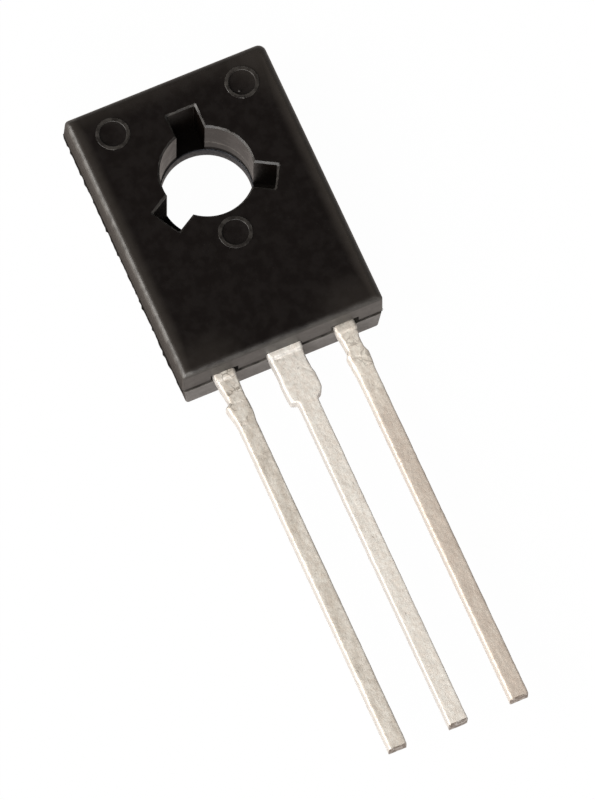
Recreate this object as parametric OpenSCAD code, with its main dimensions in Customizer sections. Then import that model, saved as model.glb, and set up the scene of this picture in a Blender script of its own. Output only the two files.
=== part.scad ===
// Plastic-cased power transistor with three leads in a row and one screw hole.
// It is built as the real one is: a stamped metal frame carries the chip, two more leads
// stand beside it, two wires bridge the gaps, and an epoxy body is moulded round them all.
//
// Frame: millimetres, origin on the axis of the screw hole at the back face,
// +Z out of the front face, +Y towards the far end, and the leads run along -Y.

/* [Moulded body] */
// Width across the parting line
body_width = 7.68; // [7.3:0.02:9]
// Length along the parting line
body_length = 10.6; // [10:0.05:12]
// Thickness from the back face to the front face
body_thickness = 2.55; // [2.4:0.05:3.5]
// Height of the parting line above the back face
parting_height = 1.2; // [1:0.05:1.4]
// Distance from the screw hole's axis to the far end
hole_to_far_end = 3.84; // [3.6:0.02:4.6]
// Draft of the two long sides, in degrees
side_draft = 2; // [1:0.5:10]
// Draft of the far end, in degrees
far_end_draft = 5; // [1:0.5:10]
// Draft of the end where the leads come out, in degrees
lead_end_draft = 1; // [0.5:0.5:6]
// How far the back half's long sides are set in at the parting line
side_step = 0.05; // [0.02:0.01:0.15]
// How far the back half is shifted towards the leads
half_shift = 0.04; // [0.01:0.01:0.15]
// Radius along the edges of the front face
front_edge_radius = 0.25; // [0.05:0.01:0.4]
// Radius along the edges of the back face
back_edge_radius = 0.08; // [0.04:0.01:0.3]
// Radius of the two upright corners at the far end
far_corner_radius = 0.3; // [0.1:0.05:0.8]
// Radius of the two upright corners at the end where the leads come out
lead_corner_radius = 0.06; // [0.04:0.02:0.4]

/* [Screw hole] */
// Diameter of the hole through the moulding
moulded_hole_diameter = 3.32; // [3.2:0.02:3.6]
// Diameter of the hole through the metal plate
plate_hole_diameter = 3.26; // [2.8:0.02:3.3]
// Width of the broken edge round the hole's mouth
hole_rim = 0.04; // [0.02:0.01:0.1]
// Number of notches where the mould's pins held the plate down
notch_count = 3; // [2:1:4]
// Width of one notch
notch_width = 1.05; // [0.6:0.05:1.3]
// Distance from the hole's axis to a notch's end wall
notch_reach = 2.5; // [2.2:0.05:2.6]

/* [Ejector marks] */
// Outer diameter of the ring that each ejector pin left
mark_diameter = 1.22; // [0.8:0.02:1.4]
// Width of the ring
mark_ring_width = 0.12; // [0.05:0.01:0.2]
// Height of the ring above the front face
mark_ring_height = 0.02; // [0.01:0.005:0.05]
// Depth of the dish inside the ring
mark_dish_depth = 0.03; // [0.01:0.005:0.08]
// Distance of the two upper marks from the body's middle line
upper_mark_offset = 2.46; // [2.4:0.02:2.7]
// Distance of the two upper marks above the hole's axis
upper_mark_height = 2.6; // [2.4:0.02:2.8]
// Distance of the lower mark below the hole's axis
lower_mark_drop = 2.48; // [2.4:0.02:3]

/* [Metal strip] */
// Thickness of the strip that the plate and the leads are stamped from
strip_thickness = 0.5; // [0.4:0.05:0.6]
// Width of moulding beside the plate
plate_side_cover = 1.1; // [0.9:0.05:1.2]
// Width of moulding beyond the plate's far edge
plate_end_cover = 1; // [0.5:0.05:1.2]
// Size of the plate's two clipped corners
plate_corner_cut = 0.4; // [0.1:0.05:0.8]
// Distance from the lead end of the moulding to the plate's near edge
plate_setback = 1.95; // [1.8:0.05:2.2]
// Length along the strip of the bend that lifts the middle lead off the plate
bend_run = 0.7; // [0.5:0.05:0.9]

/* [Leads] */
// Distance between neighbouring leads
lead_pitch = 2.29; // [2.2:0.01:2.6]
// Length of the leads beyond the moulding
lead_length = 14.9; // [4:0.05:20]
// Width of a lead below the stubs
lead_width = 0.7; // [0.5:0.02:0.8]
// Width of an outer lead where it leaves the moulding
outer_root_width = 0.76; // [0.6:0.02:1]
// Width of an outer lead's neck
outer_neck_width = 0.66; // [0.5:0.02:0.76]
// Width of an outer lead across its cut-off stubs
outer_stub_width = 0.86; // [0.82:0.02:1.1]
// Width of the middle lead where it leaves the moulding
middle_root_width = 1.27; // [1.1:0.01:1.4]
// Width of the middle lead's neck
middle_neck_width = 1.18; // [1:0.02:1.3]
// Width of the middle lead across its cut-off stubs
middle_stub_width = 1.32; // [1.2:0.02:1.5]
// Distance from the moulding to the start of the neck's taper
neck_start = 0.15; // [0.1:0.05:0.4]
// Distance from the moulding to the stubs
stub_start = 1.1; // [1:0.05:1.4]
// Length of the stubs along the lead
stub_length = 0.75; // [0.5:0.05:1]
// Length of the sloping shoulder at each end of the stubs
shoulder = 0.13; // [0.05:0.01:0.3]
// Width of the bonding post inside the moulding
post_width = 1.95; // [1.6:0.05:2]
// Length of the bonding post along the lead
post_length = 0.9; // [0.7:0.05:1.2]
// Distance from the lead end of the moulding to the bonding post
post_setback = 0.6; // [0.4:0.05:0.8]
// Side gap round each outer lead in its pocket
pocket_gap = 0.1; // [0.05:0.01:0.15]
// Gap above each outer lead in its pocket
pocket_headroom = 0.16; // [0.08:0.02:0.3]
// Depth of the pocket into the moulding
pocket_depth = 0.3; // [0.1:0.05:0.35]

/* [Chip and wires] */
// Side of the square chip
chip_size = 2; // [1.2:0.05:2.2]
// Thickness of the chip
chip_thickness = 0.23; // [0.15:0.01:0.3]
// Thickness of the solder under the chip
solder_thickness = 0.04; // [0.02:0.01:0.08]
// Width of the solder's border round the chip
solder_border = 0.06; // [0.02:0.01:0.12]
// Distance from the chip to the plate's near edge
chip_setback = 0.4; // [0.35:0.05:0.5]
// Diameter of the emitter wire
emitter_wire_diameter = 0.25; // [0.15:0.01:0.3]
// Diameter of the base wire
base_wire_diameter = 0.125; // [0.08:0.005:0.2]
// Distance of each wire's bond from the chip's middle line
bond_offset = 0.5; // [0.45:0.05:0.55]
// Distance of each wire's bond from the post's inner end
post_bond_inset = 0.25; // [0.2:0.05:0.4]
// Angle between a wire's ends and the straight line between its feet, in degrees
wire_arch = 40; // [30:1:50]
// Length of a wire's welded foot, in wire diameters
foot_length = 2.4; // [2:0.1:3]
// Width of a wire's welded foot, in wire diameters
foot_width = 1.4; // [1.2:0.1:1.8]
// Height of a wire's welded foot, in wire diameters
foot_height = 0.8; // [0.6:0.1:0.9]

/* [Hidden] */
$fn = 96;

// Straight steps that round the edge of a face
round_steps = 5;
// Overshoot of a cutting solid past the surface that it cuts
over = 1;

lead_end = hole_to_far_end - body_length;
lead_tip = lead_end - lead_length;
far_plate_edge = hole_to_far_end - plate_end_cover;
near_plate_edge = lead_end + plate_setback;
plate_width = body_width - 2 * plate_side_cover;
lead_underside = parting_height - strip_thickness / 2;
lead_top = lead_underside + strip_thickness;
bend_head = near_plate_edge - bend_run;
bend_lag = strip_thickness * tan(atan(lead_underside / bend_run) / 2);
post_end = lead_end + post_setback + post_length;
chip_middle = near_plate_edge + chip_setback + chip_size / 2;
chip_top = strip_thickness + solder_thickness + chip_thickness;

// One side of a drafted section, from its foot up to its rounded top edge.
function drafted_side(reach, draft, height, radius) =
    let (centre_height = height - radius)
    let (centre_reach = reach - tan(draft) * centre_height - radius / cos(draft))
    concat(
        [[reach, 0]],
        [for (i = [0 : round_steps])
            let (a = draft + (90 - draft) * i / round_steps)
            [centre_reach + radius * cos(a), centre_height + radius * sin(a)]]
    );

// The other side, drawn the opposite way round.
function mirrored_side(side) =
    [for (i = [len(side) - 1 : -1 : 0]) [-side[i][0], side[i][1]]];

// Rectangle between two ends along Y, centred on X, with rounded corners.
module rounded_plan(width, near_end, far_end) {
    near = lead_corner_radius;
    far = far_corner_radius;
    translate([-width / 2, near_end + near]) square([width, far_end - near_end - near - far]);
    translate([-width / 2 + near, near_end]) square([width - 2 * near, near]);
    translate([-width / 2 + far, far_end - far]) square([width - 2 * far, far]);
    for (side = [-1, 1]) {
        translate([side * (width / 2 - near), near_end + near]) circle(r = near);
        translate([side * (width / 2 - far), far_end - far]) circle(r = far);
    }
}

// One half of the mould's cavity, standing on the parting plane and opening upwards.
module mould_half(width, near_end, far_end, height, radius) {
    across = drafted_side(width / 2, side_draft, height, radius);
    far_side = drafted_side(far_end, far_end_draft, height, radius);
    near_side = drafted_side(-near_end, lead_end_draft, height, radius);
    intersection() {
        rotate([90, 0, 0]) linear_extrude(height = 4 * body_length, center = true)
            polygon(concat(across, mirrored_side(across)));
        rotate([90, 0, 90]) linear_extrude(height = 4 * body_width, center = true)
            polygon(concat(far_side, mirrored_side(near_side)));
        linear_extrude(height = height)
            rounded_plan(width, near_end, far_end);
    }
}

module moulded_block() {
    translate([0, 0, parting_height])
        mould_half(body_width, lead_end, hole_to_far_end,
            body_thickness - parting_height, front_edge_radius);
    translate([0, -half_shift, parting_height]) mirror([0, 0, 1])
        mould_half(body_width - 2 * side_step, lead_end, hole_to_far_end,
            parting_height, back_edge_radius);
}

// Where the mould's pins held the plate: slots beside the hole, down to the plate.
module notches() {
    for (i = [0 : notch_count - 1]) {
        rotate([0, 0, 90 + i * 360 / notch_count])
            translate([0, -notch_width / 2, strip_thickness])
            cube([notch_reach, notch_width, body_thickness]);
    }
}

module screw_hole() {
    radius = moulded_hole_diameter / 2;
    translate([0, 0, -over]) cylinder(h = body_thickness + 2 * over, r = radius);
    translate([0, 0, body_thickness - hole_rim])
        cylinder(h = 2 * hole_rim, r1 = radius, r2 = radius + 2 * hole_rim);
}

// Calls its children at each ejector mark on the front face.
module at_marks() {
    for (p = [
        [-upper_mark_offset, upper_mark_height],
        [upper_mark_offset, upper_mark_height],
        [0, -lower_mark_drop]
    ]) {
        translate([p[0], p[1], body_thickness]) children();
    }
}

module mark_ring() {
    cylinder(h = mark_ring_height, d = mark_diameter);
}

module mark_dish() {
    translate([0, 0, -mark_dish_depth])
        cylinder(h = mark_dish_depth + over, d = mark_diameter - 2 * mark_ring_width);
}

// Pockets in the front half above the outer leads.
module lead_pockets() {
    width = outer_root_width + 2 * pocket_gap;
    for (side = [-1, 1]) {
        translate([side * lead_pitch - width / 2, lead_end - over, parting_height])
            cube([width, pocket_depth + over, lead_top + pocket_headroom - parting_height]);
    }
}

// Flat outline of a lead, centred on X: its inner side's points, then its root, neck, stubs and tip.
module lead_outline(inner_side, root, neck, stub) {
    stub_near = lead_end - stub_start;
    stub_far = stub_near - stub_length;
    side = concat(inner_side, [
        [root / 2, lead_end - neck_start],
        [neck / 2, stub_near + shoulder],
        [stub / 2, stub_near],
        [stub / 2, stub_far],
        [lead_width / 2, stub_far - shoulder],
        [lead_width / 2, lead_tip]
    ]);
    polygon(concat(side, mirrored_side(side)));
}

module moulded_body() {
    color("#2a2624") difference() {
        union() {
            moulded_block();
            at_marks() mark_ring();
        }
        screw_hole();
        notches();
        at_marks() mark_dish();
        lead_pockets();
        collector_frame();
        emitter_lead();
        base_lead();
        silicon_chip();
        chip_solder();
        emitter_wire();
        base_wire();
    }
}

module plate_outline() {
    half = plate_width / 2;
    far = far_plate_edge;
    cut = plate_corner_cut;
    difference() {
        polygon([
            [half, near_plate_edge], [half, far - cut], [half - cut, far],
            [cut - half, far], [-half, far - cut], [-half, near_plate_edge]
        ]);
        circle(d = plate_hole_diameter);
    }
}

// The strip's bend in side view: it keeps its thickness as it rises to the leads' level.
module bend_side_view() {
    foot = near_plate_edge;
    polygon([
        [foot + bend_lag, 0], [foot, 0], [bend_head, lead_underside], [bend_head, lead_top],
        [bend_head + bend_lag, lead_top], [foot + bend_lag, strip_thickness]
    ]);
}

// Plate that the chip sits on and the middle lead, in one piece.
module collector_frame() {
    color("#cfc8bd") union() {
        linear_extrude(height = strip_thickness) plate_outline();
        rotate([90, 0, 90]) linear_extrude(height = middle_root_width, center = true)
            bend_side_view();
        translate([0, 0, lead_underside]) linear_extrude(height = strip_thickness)
            lead_outline([[middle_root_width / 2, bend_head]],
                middle_root_width, middle_neck_width, middle_stub_width);
    }
}

// Outer lead with its bonding post, centred on X.
module outer_lead() {
    post_side = [
        [post_width / 2, post_end],
        [post_width / 2, post_end - post_length],
        [outer_root_width / 2, post_end - post_length]
    ];
    translate([0, 0, lead_underside]) linear_extrude(height = strip_thickness)
        lead_outline(post_side, outer_root_width, outer_neck_width, outer_stub_width);
}

module emitter_lead() {
    color("#d8d0c4") translate([-lead_pitch, 0, 0]) outer_lead();
}

module base_lead() {
    color("#d8d0c4") translate([lead_pitch, 0, 0]) outer_lead();
}

module chip_solder() {
    side = chip_size + 2 * solder_border;
    color("#8f8f92") translate([-side / 2, chip_middle - side / 2, strip_thickness])
        cube([side, side, solder_thickness]);
}

module silicon_chip() {
    color("#5b6070")
        translate([-chip_size / 2, chip_middle - chip_size / 2, chip_top - chip_thickness])
        cube([chip_size, chip_size, chip_thickness]);
}

// Flattened foot where a wire is welded down, standing on the XZ plane.
module wire_foot(diameter) {
    size = [foot_length * diameter, foot_height * diameter, foot_width * diameter];
    translate([-size[0] / 2, 0, -size[2] / 2]) cube(size);
}

// Wire between two feet in one upright plane: X is the way across, Y is up.
module wire_loop(diameter, across, rise) {
    chord = norm([across, rise]);
    tilt = atan2(rise, across);
    radius = chord / (2 * sin(wire_arch));
    translate([across / 2, diameter / 2 + rise / 2, 0])
        rotate([0, 0, tilt])
        translate([0, -radius * cos(wire_arch), 0])
        rotate([0, 0, 90 - wire_arch])
        rotate_extrude(angle = 2 * wire_arch)
        translate([radius, 0]) circle(d = diameter);
    wire_foot(diameter);
    translate([across, rise, 0]) wire_foot(diameter);
}

// Wire from a bond on the chip to a bond on a post; side is -1 or 1.
module bond_wire(diameter, side) {
    start = [side * bond_offset, chip_middle - chip_size / 4];
    end = [side * (lead_pitch - post_bond_inset), post_end - post_bond_inset - diameter];
    way = end - start;
    translate([start[0], start[1], chip_top])
        rotate([0, 0, atan2(way[1], way[0])])
        rotate([90, 0, 0])
        wire_loop(diameter, norm(way), lead_top - chip_top);
}

module emitter_wire() {
    color("#dcdcdc") bond_wire(emitter_wire_diameter, -1);
}

module base_wire() {
    color("#dcdcdc") bond_wire(base_wire_diameter, 1);
}

moulded_body();
collector_frame();
emitter_lead();
base_lead();
silicon_chip();
chip_solder();
emitter_wire();
base_wire();
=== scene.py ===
# %% [markdown]
# # A power transistor in a flat moulded case
#
# The real object is a black epoxy slab with a screw hole and three flat leads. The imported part
# gives its sizes. This lesson dresses it: the case and the strip are modelled again with their
# soft edges, flash and dents, and every surface gets a finish made of nodes.
# Everything is in metres in the part's own frame: the origin is on the hole's axis at the back
# face, +Z comes out of the front face, and the leads run along -Y.

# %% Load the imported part
import math

import bmesh
import bpy
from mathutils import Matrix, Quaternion, Vector


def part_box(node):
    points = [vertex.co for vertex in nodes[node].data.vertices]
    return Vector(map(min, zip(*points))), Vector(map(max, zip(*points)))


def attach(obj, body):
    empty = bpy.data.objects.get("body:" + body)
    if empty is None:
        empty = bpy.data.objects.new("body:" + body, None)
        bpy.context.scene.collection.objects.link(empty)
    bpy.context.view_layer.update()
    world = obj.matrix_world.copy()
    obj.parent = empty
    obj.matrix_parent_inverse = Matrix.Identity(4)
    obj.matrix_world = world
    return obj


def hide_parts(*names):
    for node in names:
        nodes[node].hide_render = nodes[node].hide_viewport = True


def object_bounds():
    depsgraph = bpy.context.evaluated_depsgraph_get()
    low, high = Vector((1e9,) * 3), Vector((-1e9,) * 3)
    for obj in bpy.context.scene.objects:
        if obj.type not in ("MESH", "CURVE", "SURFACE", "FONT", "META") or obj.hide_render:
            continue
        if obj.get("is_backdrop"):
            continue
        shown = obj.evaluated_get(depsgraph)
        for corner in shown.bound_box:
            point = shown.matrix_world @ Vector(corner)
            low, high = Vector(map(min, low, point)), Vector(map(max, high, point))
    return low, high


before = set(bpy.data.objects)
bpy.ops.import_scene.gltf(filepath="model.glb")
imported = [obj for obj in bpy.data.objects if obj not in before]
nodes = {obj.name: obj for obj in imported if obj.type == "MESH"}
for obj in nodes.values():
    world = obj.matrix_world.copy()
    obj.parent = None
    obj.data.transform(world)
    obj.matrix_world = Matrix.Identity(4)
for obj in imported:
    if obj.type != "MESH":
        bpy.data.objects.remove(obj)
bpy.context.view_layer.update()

# %% [markdown]
# ## Sizes
#
# The real part is drawn in millimetres, so the lesson keeps its sizes that way and one helper
# turns them into metres. Most repeat the values of the part's own source, some wander from them
# as one real moulding does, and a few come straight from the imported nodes.

# %% Sizes in millimetres
MM = 0.001


def metres(*values):
    """Millimetres as a vector in metres."""
    return Vector([value * MM for value in values])


def box_in_mm(node):
    """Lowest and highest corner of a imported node, in millimetres."""
    low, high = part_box(node)
    return low / MM, high / MM


case_low, case_high = box_in_mm("moulded_body")
emitter_low, emitter_high = box_in_mm("emitter_lead")
frame_low, _ = box_in_mm("collector_frame")

# Room that each long side leaves for the flash
FLASH_ROOM = 0.02
HALF_WIDTH = case_high.x - FLASH_ROOM
FAR_END = case_high.y
HALF_SHIFT = 0.04
# The moulding stands this far to one side of its hole and leads
SIDE_SHIFT = -0.05
LEAD_END = case_low.y + HALF_SHIFT
FRONT_FACE = 2.55
PARTING = 1.2
SIDE_STEP = 0.05
LEAD_BOTTOM = emitter_low.z
LEAD_TOP = emitter_high.z
LEAD_TIP = frame_low.y
STRIP = LEAD_TOP - LEAD_BOTTOM
print("half width, lead end, tip:", [round(value, 3) for value in (HALF_WIDTH, LEAD_END, LEAD_TIP)])

# %% [markdown]
# ## Modelling helpers
#
# Blender's edit-mode tools work on what is selected. A script can't click, so these helpers
# choose vertices, edges or faces by a test of their place. Each later cell then reads like a
# modelling session.

# %% Start, choose and finish
def deselect():
    if bpy.context.object and bpy.context.object.mode != "OBJECT":
        bpy.ops.object.mode_set(mode="OBJECT")
    bpy.ops.object.select_all(action="DESELECT")


def place(piece):
    """Puts a piece's place into its mesh, so that its object sits at the origin."""
    bpy.ops.object.transform_apply(location=True, rotation=True, scale=True)
    return piece


def add_block(name, low, high):
    """A block between two corners, given in millimetres."""
    deselect()
    low, high = Vector(low), Vector(high)
    bpy.ops.mesh.primitive_cube_add(size=1, location=(low + high) / 2 * MM, scale=(high - low) * MM)
    block = bpy.context.object
    block.name = name
    return place(block)


def add_round(name, centre, radius, bottom, top, sides=96):
    """An upright cylinder, given in millimetres."""
    deselect()
    middle = metres(*centre, (bottom + top) / 2)
    bpy.ops.mesh.primitive_cylinder_add(
        vertices=sides, radius=radius * MM, depth=(top - bottom) * MM, location=middle
    )
    rod = bpy.context.object
    rod.name = name
    return place(rod)


def pick(piece):
    deselect()
    piece.select_set(True)
    bpy.context.view_layer.objects.active = piece


def edit(piece):
    pick(piece)
    bpy.ops.object.mode_set(mode="EDIT")


def leave():
    bpy.ops.object.mode_set(mode="OBJECT")


def choose(piece, kind, test):
    """Selects the vertices, edges or faces that pass the test, in edit mode."""
    bpy.ops.mesh.select_mode(type=kind)
    bpy.ops.mesh.select_all(action="DESELECT")
    mesh = bmesh.from_edit_mesh(piece.data)
    parts = {"VERT": mesh.verts, "EDGE": mesh.edges, "FACE": mesh.faces}[kind]
    for part in parts:
        if test(part):
            part.select_set(True)
    mesh.select_flush_mode()
    bmesh.update_edit_mesh(piece.data)


def bevel(width, segments):
    bpy.ops.mesh.bevel(offset=width * MM, segments=segments, affect="EDGES")


def round_edges(piece, test, width, segments):
    """Rounds the edges that pass the test, by a width in millimetres."""
    edit(piece)
    choose(piece, "EDGE", test)
    bevel(width, segments)
    leave()


def extrude(step):
    bpy.ops.mesh.extrude_region_move(TRANSFORM_OT_translate={"value": step})


def move(step):
    bpy.ops.transform.translate(value=step)


def resize(factors, centre):
    bpy.ops.transform.resize(value=factors, center_override=centre)


def shake(reach, seed):
    """Moves each selected vertex its own way, by up to a reach in millimetres."""
    bpy.ops.transform.vertex_random(offset=reach * MM, seed=seed)


def near(value, target, reach=0.004):
    """True where a value in metres is within a few micrometres of a target in millimetres."""
    return abs(value / MM - target) < reach


def level_edge(height):
    """A test for edges that lie at one height, in millimetres."""
    return lambda edge: all(near(v.co.z, height) for v in edge.verts)


def apply_modifier(piece, kind, **settings):
    pick(piece)
    modifier = piece.modifiers.new(kind.lower(), kind)
    for name, value in settings.items():
        setattr(modifier, name, value)
    bpy.ops.object.modifier_apply(modifier=modifier.name)


def combine(piece, other, operation):
    """Joins another solid to a piece, or cuts it away, and removes the other solid."""
    apply_modifier(piece, "BOOLEAN", object=other, operation=operation, solver="EXACT")
    bpy.data.objects.remove(other)


def soften(piece, angle=35):
    pick(piece)
    bpy.ops.object.shade_smooth_by_angle(angle=math.radians(angle))


def report(piece):
    size = [round(value / MM, 2) for value in piece.dimensions]
    triangles = sum(len(polygon.vertices) - 2 for polygon in piece.data.polygons)
    print(piece.name, size, "mm,", triangles, "triangles")


# %% [markdown]
# ## The case, first as two halves
#
# The case is transfer moulded between two steel plates, so each half leans inwards from the
# parting line and the halves never meet quite true. Each half is a block with the edges of its
# face moved inwards. A bevel rounds its upright corners, and a few short extrusions that turn
# inwards round the rim of its face.

# %% One drafted half of the mould
# Lean of the case's walls, in degrees
FRONT_DRAFT = 1
REAR_DRAFT = 5
FAR_DRAFT = 5
NEAR_DRAFT = 1
# Radius round each face, and the width of the bevel and the chamfer at the parting line
FRONT_RIM = 0.25
REAR_RIM = 0.08
REAR_BEVEL = 0.015
FRONT_CHAMFER = 0.09


def rise_of(edge):
    return abs(edge.verts[0].co.z - edge.verts[1].co.z)


def stands_at(edge, side, end, middle, least):
    """True for an upright edge on one side and at one end of a half."""
    x, y, _ = edge.verts[0].co
    return rise_of(edge) > least * MM and x * side > 0 and (y - middle) * end > 0


# Radius of each upright corner; the key gives its side and its end
CORNERS = {(-1, -1): 0.1, (1, -1): 0.1, (-1, 1): 0.15, (1, 1): 0.28}


def round_rim(half, upwards, rim, steps=6):
    """Carries the selected face on in short steps that turn inwards, which rounds its rim."""
    inset, rise = 0, 0
    for step in range(1, steps + 1):
        turn = math.radians(90) * step / steps
        mesh = bmesh.from_edit_mesh(half.data)
        spots = [v.co.copy() for v in mesh.verts if v.select]
        low = Vector([min(spot[axis] for spot in spots) for axis in range(3)])
        high = Vector([max(spot[axis] for spot in spots) for axis in range(3)])
        next_inset = rim * (1 - math.cos(turn))
        next_rise = rim * math.sin(turn)
        step_up = metres(0, 0, upwards * (next_rise - rise))
        extrude(step_up)
        shrink = 2 * (next_inset - inset) * MM
        factors = (1 - shrink / (high.x - low.x), 1 - shrink / (high.y - low.y), 1)
        resize(factors, (low + high) / 2)
        inset, rise = next_inset, next_rise


def mould_half(name, face, half_width, near_end, far_end, rim, side_draft):
    """Half of the case between the parting plane and one face, with drafted sides."""
    upwards = 1 if face > PARTING else -1
    shoulder = face - upwards * rim
    low = (SIDE_SHIFT - half_width, near_end, min(PARTING, shoulder))
    high = (SIDE_SHIFT + half_width, far_end, max(PARTING, shoulder))
    half = add_block(name, low, high)
    height = abs(shoulder - PARTING)
    drafts = (side_draft, FAR_DRAFT, NEAR_DRAFT)
    side, far_side, near_side = (math.tan(math.radians(draft)) * height for draft in drafts)
    moves = [
        (lambda v: v.co.x > 0, (-side, 0)),
        (lambda v: v.co.x < 0, (side, 0)),
        (lambda v: v.co.y > 0, (0, -far_side)),
        (lambda v: v.co.y < 0, (0, near_side)),
    ]
    edit(half)
    for test, (across, along) in moves:
        choose(half, "VERT", lambda v: near(v.co.z, shoulder) and test(v))
        move(metres(across, along, 0))
    middle = (near_end + far_end) / 2 * MM
    for (side, end), radius in CORNERS.items():
        choose(half, "EDGE", lambda e: stands_at(e, side, end, middle, height / 2))
        bevel(radius, 5)
    choose(half, "FACE", lambda f: all(near(v.co.z, shoulder) for v in f.verts))
    round_rim(half, upwards, rim)
    leave()
    return half


case = mould_half("case", FRONT_FACE, HALF_WIDTH, LEAD_END, FAR_END, FRONT_RIM, FRONT_DRAFT)
rear_half = mould_half(
    "rear_half",
    0,
    HALF_WIDTH - SIDE_STEP,
    LEAD_END - HALF_SHIFT,
    FAR_END - HALF_SHIFT,
    REAR_RIM,
    REAR_DRAFT,
)
round_edges(rear_half, level_edge(PARTING), REAR_BEVEL, 2)
report(case)
report(rear_half)

# %% [markdown]
# The lower rim of the front half gets a tiny chamfer, narrower than any corner's radius. With
# the rear half's ledge below it, this leaves the thin dark line that runs round a moulded case.

# %% Chamfer at the parting line, then join the halves
round_edges(case, level_edge(PARTING), FRONT_CHAMFER, 1)
combine(case, rear_half, "UNION")
report(case)

# %% [markdown]
# ## Flash
#
# A little epoxy always creeps between the mould's plates and breaks off unevenly. A flat sheet
# is cut into many short edges, its rim is shaken in its own plane, and it is given a thickness
# of a few hundredths of a millimetre before it joins the case. It reaches furthest on the left
# and stops short of the end where the leads come out.

# %% A thin uneven fin round the parting line
# How far it stands out past the front half on each side
FLASH_LEFT = 0.03
FLASH_RIGHT = 0.01
FLASH_FAR = 0.02
FLASH_NEAR = -0.03
# Its thickness, how far its rim wanders, the cuts in each edge and its corner radii
FLASH_THICKNESS = 0.03
FLASH_SHAKE = 0.055
FLASH_CUTS = 70
FLASH_CORNERS = {-1: 0.08, 1: 0.25}


def add_flash(seed):
    low = Vector((SIDE_SHIFT - HALF_WIDTH - FLASH_LEFT, LEAD_END - FLASH_NEAR))
    high = Vector((SIDE_SHIFT + HALF_WIDTH + FLASH_RIGHT, FAR_END + FLASH_FAR))
    middle = metres((low.x + high.x) / 2, (low.y + high.y) / 2, PARTING - FLASH_THICKNESS / 2)
    deselect()
    bpy.ops.mesh.primitive_plane_add(size=1, location=middle)
    flash = bpy.context.object
    flash.name = "flash"
    flash.scale = ((high.x - low.x) * MM, (high.y - low.y) * MM, 1)
    place(flash)
    edit(flash)
    for end, radius in FLASH_CORNERS.items():
        choose(flash, "VERT", lambda v: (v.co.y - middle.y) * end > 0)
        bpy.ops.mesh.bevel(offset=radius * MM, segments=5, affect="VERTICES")
    choose(flash, "EDGE", lambda e: e.calc_length() > 2 * MM)
    bpy.ops.mesh.subdivide(number_cuts=FLASH_CUTS)
    bpy.ops.mesh.select_all(action="SELECT")
    shake(FLASH_SHAKE, seed)
    resize((1, 1, 0), middle)
    extrude(metres(0, 0, FLASH_THICKNESS))
    bpy.ops.mesh.select_all(action="SELECT")
    bpy.ops.mesh.normals_make_consistent(inside=False)
    leave()
    return flash


combine(case, add_flash(seed=7), "UNION")
report(case)

# %% [markdown]
# ## Screw hole and notches
#
# Steel pins in the mould form the screw hole and hold the metal plate down while the epoxy
# flows, which leaves three slots beside the hole. The cutting solids have uneven flared mouths,
# so each opening gets the chipped edge that catches the light. The slots stop a hair above the
# plate, so a thin film of dark epoxy covers it, standing in for the shade deep in each slot.

# %% Cutting solids with flared mouths
# Depth and spread of a chipped mouth, how far its edge wanders, and the film left on the plate
BREAK = 0.07
MOUTH_SHAKE = 0.022
FLOOR_FILM = 0.02


def flare_top(cutter, top, broken, spread_x, spread_y, centre, seed):
    """Widens the last stretch of a cutting solid unevenly, then carries it on upwards."""
    edit(cutter)
    choose(cutter, "FACE", lambda f: all(near(v.co.z, top) for v in f.verts))
    extrude(metres(0, 0, broken))
    resize((spread_x, spread_y, 1), metres(*centre, top))
    shake(MOUTH_SHAKE, seed)
    extrude(metres(0, 0, 1))
    leave()


HOLE_RADIUS = 1.66
NOTCH_START = 0.9
NOTCH_CORNER = 0.06
# Angle of each notch, where its two side walls stand, and how far out its end wall is
NOTCHES = [(90, -0.585, 0.48, 2.46), (210, -0.59, 0.56, 2.39), (330, -0.36, 0.54, 2.43)]

hole_cutter = add_round("hole_cutter", (0, 0), HOLE_RADIUS, -1, FRONT_FACE - BREAK)
spread = (HOLE_RADIUS + BREAK) / HOLE_RADIUS
flare_top(hole_cutter, FRONT_FACE - BREAK, BREAK, spread, spread, (0, 0), 4)
combine(case, hole_cutter, "DIFFERENCE")

for angle, right_wall, left_wall, end_wall in NOTCHES:
    low = (NOTCH_START, right_wall, STRIP + FLOOR_FILM)
    high = (end_wall, left_wall, FRONT_FACE - BREAK)
    notch_cutter = add_block("notch_cutter", low, high)
    edit(notch_cutter)
    choose(notch_cutter, "EDGE", lambda e: rise_of(e) > 1 * MM)
    bevel(NOTCH_CORNER, 3)
    choose(notch_cutter, "EDGE", lambda e: e.calc_length() > 0.5 * MM and level_edge(high[2])(e))
    bpy.ops.mesh.subdivide(number_cuts=9)
    leave()
    middle = ((NOTCH_START + end_wall) / 2, (right_wall + left_wall) / 2)
    spread_x = 1 + 2 * BREAK / (end_wall - NOTCH_START)
    spread_y = 1 + 2 * BREAK / (left_wall - right_wall)
    flare_top(notch_cutter, FRONT_FACE - BREAK, BREAK, spread_x, spread_y, middle, angle)
    notch_cutter.rotation_euler.z = math.radians(angle)
    place(notch_cutter)
    combine(case, notch_cutter, "DIFFERENCE")
report(case)

# %% [markdown]
# ## Ejector marks
#
# Three pins push the moulding out of the mould. Each leaves a low raised ring with a shallow
# dish inside. A short soft-edged disc is joined to the face and a smaller one is cut from it.
# Two crumbs of epoxy have stuck to one of them.

# %% Rings and dishes
MARKS = [(-2.46, 2.6), (2.46, 2.6), (0, -2.48)]
MARK_RADIUS = 0.61
RING_WIDTH = 0.12
RING_TOP = FRONT_FACE + 0.02
DISH_FLOOR = FRONT_FACE - 0.03
RING_ROUND = 0.019
RING_SHAKE = 0.009
DISH_ROUND = 0.025
CRUMBS = [(2.24, 2.33), (2.28, 2.04)]
CRUMB_RADIUS = 0.05

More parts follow.
